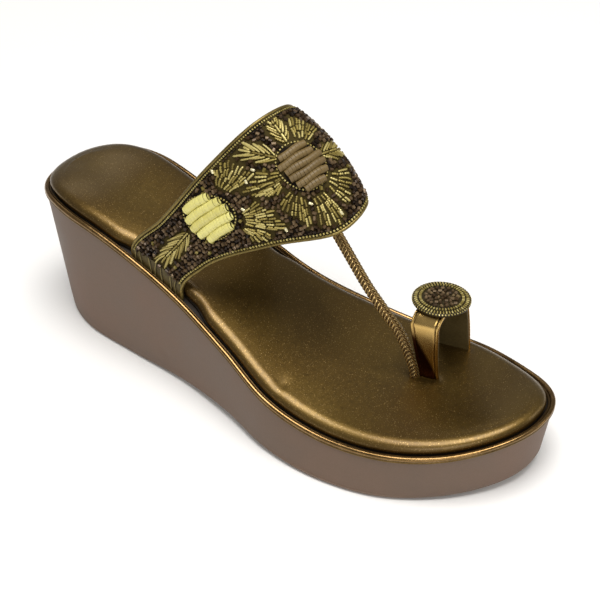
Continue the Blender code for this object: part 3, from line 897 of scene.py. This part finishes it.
# Strands of one leaf: a vein of strands end to end, and pairs that leave it tipwards. Pair
# start = base + s * run -+ a little sideways; its way turns from run by the angle, less towards
# the tip, and its length fades towards both ends of the leaf
def featherStrands(baseArc, baseW, tipArc, tipW, angle, longest):
    base, tip = np.array([baseArc, baseW]), np.array([tipArc, tipW])
    length = np.linalg.norm(tip - base)
    run = (tip - base) / length
    side = turnedLeft(run)
    pairs = int(round((length - longest * 0.5) / strands["pairPitch"]))
    place = (np.arange(pairs) + 0.2) * strands["pairPitch"]
    share = place / length
    near, away = [], []
    for sign in (-1, 1):
        wave = 5 * np.sin(23 * share + 2 * sign + baseArc)
        turn = np.radians(angle * (1.08 - 0.55 * share) + wave)[:, None]
        way = np.cos(turn) * run + sign * np.sin(turn) * side
        size = longest * (0.8 + 0.5 * share - 0.6 * share**2)
        size *= 1.0 + 0.12 * np.sin(31 * share + baseW)
        start = base + (place + (0.35 if sign > 0 else 0))[:, None] * run + sign * 0.8 * side
        near.append(start)
        away.append(start + way * size[:, None])
    joints = np.linspace(0, length, max(int(round(length / strands["veinLength"])), 2) + 1)
    near.append(base + (joints[:-1] + 0.15)[:, None] * run)
    away.append(base + (joints[1:] - 0.15)[:, None] * run)
    bow = np.repeat([-0.03, 0.03, 0], [pairs, pairs, len(joints) - 1])
    return np.concatenate(near), np.concatenate(away), bow


# Rays from a start line to an end line, each cut into strands that lie end to end. Place =
# start + run * t + side * curl * length * sin(pi t); run is shorter towards the spray's two
# sides, and every second ray starts a third of the way out
def sprayStrands(start1, start2, end1, end2, rays, curl):
    random = np.random.default_rng(int(10 * start1[0]) + rays)
    start1, start2, end1, end2 = (np.array(point) for point in (start1, start2, end1, end2))
    near, away = [], []
    for ray in range(rays):
        u = (ray + 0.5 + random.uniform(-0.22, 0.22)) / rays
        start = start1 + (start2 - start1) * u
        run = (end1 + (end2 - end1) * u - start) * (1 - 0.18 * (2 * u - 1) ** 2)
        first = (ray % 2) * random.uniform(0.15, 0.4) + random.uniform(0, 0.08)
        last = random.uniform(0.86, 1.06)
        parts = (last - first) * np.linalg.norm(run) / random.uniform(*strands["sprayLength"])
        cuts = np.linspace(first, last, max(int(round(parts)), 1) + 1)
        cuts[1:-1] += random.uniform(-0.07, 0.07, len(cuts) - 2)
        bend = turnedLeft(run) * (curl * np.sin(math.pi * cuts))[:, None]
        line = start + run * cuts[:, None] + bend
        way = unit(np.diff(line, axis=0))
        near.append(line[:-1] + way * 0.2)
        away.append(line[1:] - way * 0.2 + random.uniform(-0.28, 0.28, way.shape))
    near, away = np.concatenate(near), np.concatenate(away)
    return near, away, random.uniform(-0.03, 0.03, len(near)) - curl / 2


# The same places of the sheet on the strap's other half
def mirrored(ends):
    return ends * [-1, 1] + [strapLength, 0]


# Every bugle strand; those of the outer medallion are mirrored to the inner one. A strand that
# would leave its room is cut down, and left out if that isn't enough
def allStrands():
    found = [featherStrands(*leaf) for leaf in feathers] + [sprayStrands(*leaf) for leaf in sprays]
    every = []
    for near, away, bow in found:
        every.append((near, away, bow))
        if near[0, 0] < strands["mirrorUnder"]:
            every.append((mirrored(near), mirrored(away), -bow))
    near, away, bow = joined(every)
    for share in strands["cuts"]:
        away = np.where(isFree(away)[:, None], away, near + (away - near) * share)
    free = isFree(near) & isFree(away)
    return near[free], away[free], bow[free]


# True for places this far above the plain leather at the strap's feet
def clearOfFeet(arc, w, spare):
    foot = np.interp(w / widthAt(arc), (-0.5, 0, 0.5), strapFolds["top"]) + spare
    return (arc > foot) & (arc < strapLength - foot)


# True for places clear of the strap's edges and feet and of the medallions
def isFree(ends):
    arc, w = ends.T
    return ((np.abs(w) < widthAt(arc) / 2 - strap["chainIn"] - strands["room"])
            & ~insideMedallion(arc, w, strands["medallionRoom"])
            & clearOfFeet(arc, w, strands["room"]))


# Each strand is a thin tube lying on the sheet, with bead-like swellings along it. Middle line =
# near + (away - near) t + bow * length * sin(pi t) sideways; radius = thickness * end rounding *
# (1 - neck * cos(pi s / pitch)^2)
def makeStrands(near, away, bow):
    random = np.random.default_rng(11)
    count, steps, sides = len(near), strands["steps"], strands["sides"]
    t, run = np.linspace(0, 1, steps), away - near
    length = np.linalg.norm(run, axis=1)[:, None]
    arch = np.sin(math.pi * t)
    line = (near[:, None] + run[:, None] * t[:, None]
            + turnedLeft(run)[:, None] * (bow[:, None] * arch)[..., None])
    thick = random.uniform(*strands["thick"], (count, 1))
    neck = np.where(random.random((count, 1)) < strands["beaded"], *strands["necks"])
    pitch = length / np.maximum(np.round(length / strands["swellings"]), 1)
    ends = np.sqrt(np.clip(1 - np.abs(2 * t - 1) ** 9, 0.02, 1))
    swollen = 1 - neck * np.cos(math.pi * t * length / pitch) ** 2
    radius = (thick * ends * swollen)[..., None, None]
    lift = strands["rise"] + strands["arch"] * (arch + random.uniform(0, 1, (count, 1)))
    centre, _, _, out = sheetFrame(line[..., 0], line[..., 1], lift)
    sideways = unit(np.cross(unit(np.gradient(centre, axis=1)), out))
    turn = fullTurn(sides)[:, None]
    rings = centre[:, :, None] + radius * (np.cos(turn) * sideways[:, :, None]
                                           + np.sin(turn) * out[:, :, None])
    k, size = np.arange(sides), steps * sides
    faces = [gridFaces(steps, sides, True)[:, ::-1], np.stack([k[::-1], size - sides + k])]
    tint = np.repeat(random.uniform(0.1, 1.0, count), size)
    makePiece("leafBugles", rings, [copiedFaces(group, count, size) for group in faces],
              finishes["giltBead"], "beaded_strap", sharp=35, attributes={"tint": tint})


# Places a pitch apart, in space, along a line on the sheet
def evenPlaces(arc, w, pitch, phase=0.5):
    run = runAlong(onSheet(arc, w))
    count = max(int(run[-1] / pitch), 1)
    at = (np.arange(count) + phase) * run[-1] / count
    return np.interp(at, run, arc), np.interp(at, run, w)


# Beads threaded on a line of the sheet: places, axes (thread, across, out) and sizes
def beadChain(arc, w, pitch, size, random):
    places, _, _, out = sheetFrame(*evenPlaces(arc, w, pitch), size * 0.75)
    way = unit(np.gradient(places, axis=0))
    axes = np.stack([way, unit(np.cross(out, way)), out], axis=1)
    spread = random.uniform(1 - chains["spread"], 1 + chains["spread"], (len(places), 1))
    return places, axes, np.array([0.36 * pitch, size, size]) * spread


# True inside an ellipse round a medallion, this much larger than its discs and border
def insideMedallion(arc, w, spare):
    inside = np.zeros(np.shape(arc), bool)
    roomAlong, roomAcross = discRows["room"]
    for _, middle, across, halfLength, halfWidth, *_, skew in medallions:
        inside |= (((arc - middle) / (halfLength + roomAlong + spare)) ** 2
                   + ((w - across + skew) / (halfWidth + roomAcross + spare)) ** 2) < 1
    return inside


# Distance on the sheet from each place to the nearest point of the nearest strand
def strandDistance(arc, w, near, away):
    least = np.full(len(arc), 99.0)
    for start, end in zip(near, away):
        run = end - start
        t = np.clip(((arc - start[0]) * run[0] + (w - start[1]) * run[1]) / (run @ run), 0, 1)
        least = np.minimum(least, np.hypot(arc - start[0] - run[0] * t, w - start[1] - run[1] * t))
    return least


def joined(parts):
    return [np.concatenate(part) for part in zip(*parts)]


# The axes of beads: their thread, a side way square to it, and the way square to both
def axesFrom(way, side):
    return np.stack([way, side, np.cross(way, side)], axis=1)


# Seed beads in jittered rows over the cloth, left out under leaves and medallions
def makeGroundBeads(near, away):
    random = np.random.default_rng(5)
    rows = []
    for across in np.arange(-27.5, 27.6, seeds["rowPitch"]):
        arc = np.linspace(4, strapLength - 4, 400)
        inside = np.abs(across) < widthAt(arc) / 2 - strap["chainIn"] - seeds["clear"]
        ends = np.flatnonzero(np.diff(np.concatenate([[0], inside.astype(int), [0]])))
        for first, last in zip(ends[::2], ends[1::2]):
            if last - first > 2:
                rows.append(evenPlaces(arc[first:last], np.full(last - first, across),
                                       seeds["pitch"], random.uniform(0.2, 0.8)))
    arc, w = (place + random.uniform(-shake, shake, len(place))
              for place, shake in zip(joined(rows), seeds["shake"]))
    keep = clearOfFeet(arc, w, seeds["footRoom"])
    keep &= ~insideMedallion(arc, w, seeds["medallionRoom"])
    keep[keep] = strandDistance(arc[keep], w[keep], near, away) > seeds["clear"]
    arc, w = arc[keep], w[keep]
    count = len(arc)
    places, along, across, out = sheetFrame(arc, w, random.uniform(*seeds["rise"], count))
    angle = random.uniform(0, math.pi, (count, 1))
    way = np.cos(angle) * along + np.sin(angle) * across
    way = unit(way + random.normal(0, seeds["lean"], (count, 1)) * out)
    width = random.uniform(*seeds["width"], count)
    sizes = np.column_stack([random.uniform(*seeds["length"], count), width, width])
    beside = insideMedallion(arc, w, seeds["oliveNear"])
    olive = random.random(count) < np.where(beside, *seeds["oliveShares"])
    tint = np.where(olive, seeds["olive"], random.uniform(*seeds["plum"], count))
    makeBeads("groundBeads", barrel(6, 5.0, (-0.74, 0.74)), places,
              axesFrom(way, unit(np.cross(out, way))), sizes, tint, "plumBead", sharp=30)
    print("ground beads:", count)


# Gilt beads inside both edges of the strap, a dark row beside them, and a ring of gilt beads
# round each medallion: an ellipse of its size and the border
def makeChains():
    random = np.random.default_rng(3)
    gilt, dark = [], []
    for side, pitch, size in chains["edges"]:
        top = strapFolds["top"][0 if side < 0 else 2]
        arc = np.linspace(top, strapLength - top, 500)
        w = widthAt(arc) / 2 - strap["chainIn"]
        gilt.append(beadChain(arc, side * w, pitch, size, random))
        dark.append(beadChain(arc, side * (w - chains["darkIn"]), *chains["dark"], random))
    turn, (borderAlong, borderAcross) = np.linspace(0, 2 * math.pi, 160), discRows["border"]
    for _, middle, across, halfLength, halfWidth, *_, skew in medallions:
        arc = middle + (halfLength + borderAlong) * np.cos(turn)
        w = across - skew + (halfWidth + borderAcross) * np.sin(turn)
        gilt.append(beadChain(arc, w, *chains["ring"], random))
    bead = barrel(8, 2.4, (-0.72, 0.0, 0.72))
    for (name, finish, tones), beads in zip(chains["pieces"], (gilt, dark)):
        places, axes, sizes = joined(beads)
        makeBeads(name, bead, places, axes, sizes, random.uniform(*tones, len(places)), finish)


# Rows of stacked discs: each disc is a short superellipse barrel lying along its row. A row
# reaches to the border's ellipse; its line is w = across + away + slope * distance from the
# middle + bow + wave * sin(arc / 2 + 1.7 row)
def makeMedallions():
    lift, bow, bowLength = discRows["bow"]
    wide, thick = discRows["wide"], discRows["thick"]
    for name, middle, across, halfLength, halfWidth, rows, pitch, slope, skew in medallions:
        kind = "brown" if name == "brown" else "cream"
        power, ends, slip, wave, fill, loose = discKinds[kind]
        random = np.random.default_rng(len(name))
        parts, tints = [], []
        spacing = 2 * halfWidth / (rows - 1)
        for row in range(rows):
            away = -halfWidth + row * spacing
            share = (away + skew) / (halfWidth + discRows["border"][1])
            reach = halfLength * math.sqrt(1 - share**2)
            start = middle + random.uniform(-slip, slip) - reach
            count = max(int(round(2 * reach / pitch)), 2)
            length = np.ones(count)
            if kind == "cream":
                length = random.uniform(*discRows["lengths"], count)
            length *= 2 * reach / length.sum()
            arc = start + np.cumsum(length) - length / 2
            w = (across + away + slope * (arc - middle) + lift
                 - bow * np.cos(math.pi * (arc - middle) / (bowLength * halfLength))
                 + wave * np.sin(0.5 * arc + 1.7 * row))
            places, _, _, out = sheetFrame(arc, w, discRows["rise"])
            way = unit(np.gradient(places, axis=0))
            side = unit(np.cross(out, way) + random.normal(0, loose, (count, 1)) * way)
            sizes = np.column_stack([length * fill,
                                     spacing * random.uniform(wide - loose, wide, count),
                                     random.uniform(thick - 2 * loose, thick, count)])
            sizes[[0, -1], 1:] *= discRows["endSize"]
            parts.append((places, axesFrom(way, side), sizes))
            spread = 3 * loose + 0.03
            tints.append(random.uniform(0.25, 0.75) + random.uniform(-spread, spread, count))
        shape = barrel(16, power, [-end for end in ends[::-1]] + list(ends))
        makeBeads(name + "Medallion", shape, *joined(parts), np.concatenate(tints), kind + "Disc")


# Short clear beads, bright where they catch the light
def makeGlints():
    random = np.random.default_rng(8)
    ends = np.array(glints["places"])
    arc, w = np.concatenate([ends, mirrored(ends[:glints["mirrored"]])]).T
    places, along, across, out = sheetFrame(arc, w, glints["rise"])
    angle = random.uniform(-0.5, 0.9, len(arc))[:, None]
    way = np.cos(angle) * across + np.sin(angle) * along
    axes = np.stack([way, np.cross(out, way), out], axis=1)
    makeBeads("clearBeads", barrel(10, 3.5, (-0.9, -0.5, 0.5, 0.9)), places, axes,
              np.tile(glints["size"], (len(arc), 1)), np.full(len(arc), 0.8), "clearBead")


loop = {
    "place": (21.4, -68.8), "turn": 1.5, "bandTurn": 16.0, "outer": 25.6, "top": 58.5,
    # reach towards the heel and the toe, at the top and foot of the outer and inner legs
    "bandTop": ((8.8, 3.4), (9.8, 4.4)), "bandFoot": ((2.6, 5.6), (7.2, 6.6)),
    "wall": 1.6, "corner": 5.5, "cornerPush": 0.065, "lean": 1.0, "depth": 4.0,
    # place from the band's edge, reach and height of the rim's ridge and of its groove
    "ridge": (0.6, 0.42, 0.34), "groove": (1.45, 0.25, 0.272),
    "roll": 0.55, "rollReach": 0.25,  # how far and how soon the rim turns in
    "rimShare": 0.12,  # the share of the band's breadth with closer points
    "leather": 0.1, "lining": 0.15, "liningWide": 0.93,  # both sides' places and a share
    "shade": (-2.0, 23.0, 7.0),  # foot, rise from toe to heel, and fade of the outer leg's painted shade and dark reflection
    "shades": (0.55, 0.8),  # how dark the painted shade is at least at that leg's foot, and in the groove
}

disc = {
    "place": (21.6, -66.5), "radius": 12.4, "thick": 2.3, "tilt": 4.5, "way": 34.0, "rise": 0.5,
    "top": ((0.0, 0.5), (0.5, 0.6), (0.78, 0.85), (0.88, 0.7)),  # share of radius, depth
    "edge": (0.75, 0.8, 0.85),  # the rounded edge's reach, half height and middle height
    # distance from the middle, count, size, depth under the top, and how far the threads dip
    "gilt": ((12.1, 58, (0.36, 0.36, 0.36), 1.05, 0.8), (10.9, 54, (0.80, 0.33, 0.36), 0.62, 0.35),
             (9.0, 46, (0.66, 0.36, 0.42), 0.25, 0.0)),
    "inner": ((6.6, 18), (4.8, 13), (3.1, 8), (1.3, 4)), "innerSize": (0.96, 0.70, 0.70),
    "tints": ((0.3, 1.0), (0.2, 0.78)),
}

cord = {
    "route": (
        (-1.4, -11.0, 112.2), (-1.1, -14.6, 107.1), (-0.1, -20.4, 98.8), (1.0, -28.6, 86.8),
        (1.9, -35.6, 76.4), (2.9, -42.4, 66.4), (4.0, -49.6, 57.6), (5.6, -56.6, 48.4),
        (5.9, -62.0, 38.6), (6.2, -64.6, 31.6), (6.4, -65.4, 26.6), (6.4, -65.6, 22.5),
    ),
    "strand": 0.76, "sway": 1.65, "dip": 0.36, "pitch": 9.0, "strands": 5,
    "steps": 420, "sides": 10, "flat": 0.8,
    "face": (-0.45, -0.62, 0.64),  # the way that the flat of the plait looks
}


# Height of the pad's edge where the toe loop stands
def padTop():
    return float(rimAt(loop["place"][1])) + gap + footbed["edge"]


# Middle line of the band: up one leg, leaning in towards the top, round a corner and over.
# Leg: across = half - lean * t^2, with t from its middle to the corner; corner: a quarter circle
# with a push sideways of cornerPush * sin 2a
def loopPath():
    half, top = loop["outer"] / 2 - loop["wall"] / 2, loop["top"] - loop["wall"] / 2
    foot, corner, lean = padTop() - loop["depth"], loop["corner"], loop["lean"]
    up = np.linspace(foot, top - corner, 40, endpoint=False)
    middle = (foot + top - corner) / 2
    t = np.clip((up - middle) / (top - corner - middle), 0, 1)
    leg = np.column_stack([-half + lean * t**2, up])
    a = np.linspace(0, math.pi / 2, 16)
    across = corner * (1 - np.cos(a)) + loop["cornerPush"] * corner * np.sin(2 * a)
    bend = np.column_stack([-half + lean + across, top - corner + corner * np.sin(a)])
    left = np.concatenate([leg, bend])
    reach = half - lean - corner
    over = np.column_stack([np.linspace(-reach, reach, 14)[1:-1], np.full(12, top)])
    return np.concatenate([left, over, left[::-1] * [-1, 1]])


# Sizes across the toe, back along the band and up, put in place
def turned(across, along, up):
    a, b = math.radians(loop["turn"]), math.radians(loop["bandTurn"])
    x = across * math.cos(a) - along * math.sin(b) + loop["place"][0]
    y = across * math.sin(a) + along * math.cos(b) + loop["place"][1]
    return np.stack([x, y, up], -1)


# Where the toe loop's legs and the cord go into the pad, each with a radius
def pressPlaces():
    _, legRadius, cordRadius = footbed["press"]
    found = []
    for side, (heel, toe) in zip((-1, 1), loop["bandFoot"]):
        for along in np.linspace(heel - footbed["pressIn"], footbed["pressIn"] - toe, 3):
            found.append((*turned(side * loop["outer"] / 2, along, 0.0)[:2], legRadius))
    return found + [(*cord["route"][-1][:2], cordRadius)]


# A band with folded rims: the middle line moved out by half the wall, plus a ridge and less a
# groove along each rim, and less a roll, exp(-distance / reach), at the very edge
def makeLoop():
    path, low, half = loopPath(), padTop(), loop["wall"] / 2
    out = turnedLeft(unit(np.gradient(path, axis=0)))
    x, up = path[:, :1], path[:, 1:]
    rise = np.clip((up - low) / (loop["top"] - loop["corner"] - low), 0, 1)
    foot, top = (np.column_stack([np.interp(path[:, 0], path[[0, -1], 0], ends)
                                  for ends in zip(*loop[key])]) for key in ("bandFoot", "bandTop"))
    heel, toe = np.split(foot * (1 - rise) + top * rise, 2, axis=1)
    fine = loop["rimShare"]
    share = np.concatenate([np.linspace(0, fine, 9), np.linspace(fine, 1 - fine, 22)[1:-1],
                            np.linspace(1 - fine, 1, 9)])
    along = -toe + (toe + heel) * share
    fromEdge = np.minimum(share, 1 - share) * (toe + heel)
    ridgeAt, ridgeWide, ridgeHigh = loop["ridge"]
    grooveAt, grooveWide, grooveDeep = loop["groove"]
    groove = bell(fromEdge - grooveAt, grooveWide)
    ridge = ridgeHigh * bell(fromEdge - ridgeAt, ridgeWide) - grooveDeep * groove
    roll = loop["roll"] * np.exp(-fromEdge / loop["rollReach"])

    def layer(offset, width=1.0):
        offset = offset + 0 * share
        return turned(x + out[:, :1] * offset, along * width, up + out[:, 1:] * offset)

    points, faces = closedSheet(layer(half + ridge - roll), layer(-loop["leather"] + roll * 0.4))
    # Painted shade and a painted dark reflection: the outer leg darkens below a line that rises
    # from toe to heel, and more towards its foot; the rim's groove gets painted shade too
    start, slope, fade = loop["shade"]
    shade = 1 - smoothStep((up - low - start - slope * share) / fade)
    foot, deep = loop["shades"]
    shade = np.maximum(np.maximum(shade, foot * (1 - rise)) * (x < 0), deep * groove)
    makePiece("toeLoop", points, faces, loopFinish(), "gold_leather", ["toe_loop"], weld=True,
              sharp=70, attributes={"shade": bothSides(shade)})
    wide = loop["liningWide"]
    points, faces = closedSheet(layer(-loop["lining"], wide), layer(-half, wide))
    makePiece("toeLoopLining", points, faces, finishes["loopInside"], "gold_leather", weld=True,
              sharp=60)


# Turned about a level axis, so that the disc leans down in one way
def tilted(vectors):
    way, tilt = math.radians(disc["way"]), math.radians(disc["tilt"])
    lean = Matrix.Rotation(tilt, 3, (-math.sin(way), math.cos(way), 0))
    return vectors @ np.array(lean).T


# Beads in a ring on the disc, with their threads outwards: places, axes and sizes
def discRing(base, distance, count, size, under, dip=0.0):
    angle = (np.arange(count) + 0.5) * 2 * math.pi / count
    spoke = np.stack([np.cos(angle), np.sin(angle), 0 * angle], -1)
    place = base + tilted(spoke * distance + np.array([0, 0, disc["thick"] - under]))
    side = np.stack([-np.sin(angle), np.cos(angle), 0 * angle], -1)
    thread = unit(spoke - np.array([0, 0, dip]))
    return place, tilted(axesFrom(thread, side)), np.tile(size, (count, 1))


# Turned profile of the disc's leather, rings of gilt beads on its edge and beads inside them
def makeDisc():
    high, radius = disc["thick"], disc["radius"]
    base = np.array([*disc["place"], loop["top"] + gap + disc["rise"]])
    profile = [(share * radius, high - depth) for share, depth in disc["top"]]
    reach, half, middle = disc["edge"]
    profile += [(radius - reach + reach * math.cos(a), middle + half * math.sin(a))
                for a in np.radians(np.linspace(70, -90, 12))]
    r, z = np.array(profile + [(0.7 * radius, 0.02), (0.0, 0.0)]).T
    turn = np.linspace(0, 2 * math.pi, 97)[:, None]
    grid = base + tilted(np.stack([r * np.cos(turn), r * np.sin(turn), z + 0 * turn], -1))
    makePiece("toeDisc", grid, [gridFaces(97, len(r))], finishes["edge"], "beaded_strap",
              ["toe_disc"], weld=True)
    random = np.random.default_rng(21)
    gilt, inner = [discRing(base, *row) for row in disc["gilt"]], []
    for distance, count in disc["inner"]:
        place, axes, sizes = discRing(base, distance, count, disc["innerSize"], 0.1)
        angle = random.uniform(0, math.pi, (count, 1))
        first = np.cos(angle) * axes[:, 0] + np.sin(angle) * axes[:, 1]
        second = np.cos(angle) * axes[:, 1] - np.sin(angle) * axes[:, 0]
        place = place + random.uniform(-0.3, 0.3, place.shape) * [1, 1, 0.5]
        inner.append((place, np.stack([first, second, axes[:, 2]], axis=1),
                      sizes * random.uniform(0.85, 1.1, (count, 1))))
    for name, beads, tints, finish in (("toeDiscRings", gilt, disc["tints"][0], "giltBead"),
                                       ("toeDiscBeads", inner, disc["tints"][1], "plumBead")):
        places, axes, sizes = joined(beads)
        makeBeads(name, barrel(6, 4.0, (-0.76, 0.76)), places, axes, sizes,
                  random.uniform(*tints, len(places)), finish, sharp=30)


# Flat plait: strand = route + sway * sin(p) across + dip * sin(2 p) out
def makeCord():
    run = runAlong(np.array(cord["route"]))
    steps, sides, count = cord["steps"], cord["sides"], cord["strands"]
    s = np.linspace(0, run[-1], steps)
    line = lineThrough([(place, *point) for place, point in zip(run, cord["route"])], s)
    way = unit(np.gradient(line, axis=0))
    across = unit(np.cross(way, np.array(cord["face"])))
    out = np.cross(across, way)
    parts = []
    for k in range(count):
        phase = 2 * math.pi * (s / cord["pitch"] + k / count)
        path = (line + across * (cord["sway"] * np.sin(phase))[:, None]
                + out * (cord["dip"] * np.sin(2 * phase))[:, None])
        points, *faces = tube(path, cord["strand"], sides, out, cord["flat"])
        parts.append(points)
    around = np.tile(np.append(np.tile(np.arange(sides) / sides, steps), [0, 0]), count)
    along = np.tile(np.append(np.repeat(s, sides), [0, run[-1]]), count)
    makePiece("toeCord", np.concatenate(parts),
              [copiedFaces(group, count, len(points)) for group in faces], plaitFinish(),
              "braided_cord", ["toe_cord"], attributes={"around": around, "along": along})


makeCamera()
makeStudio()
print("camera and studio done")
makeWedge()
makePiping()
makeFootbed()
print("sole done")
near, away, bow = allStrands()
makeStrapCloth(near, away)
makeStrapEdges()
makeStrapFeet()
makeStrands(near, away, bow)
makeGroundBeads(near, away)
makeChains()
makeMedallions()
makeGlints()
print("strap done")
makeLoop()
makeDisc()
makeCord()
print("toe loop, disc and cord done")
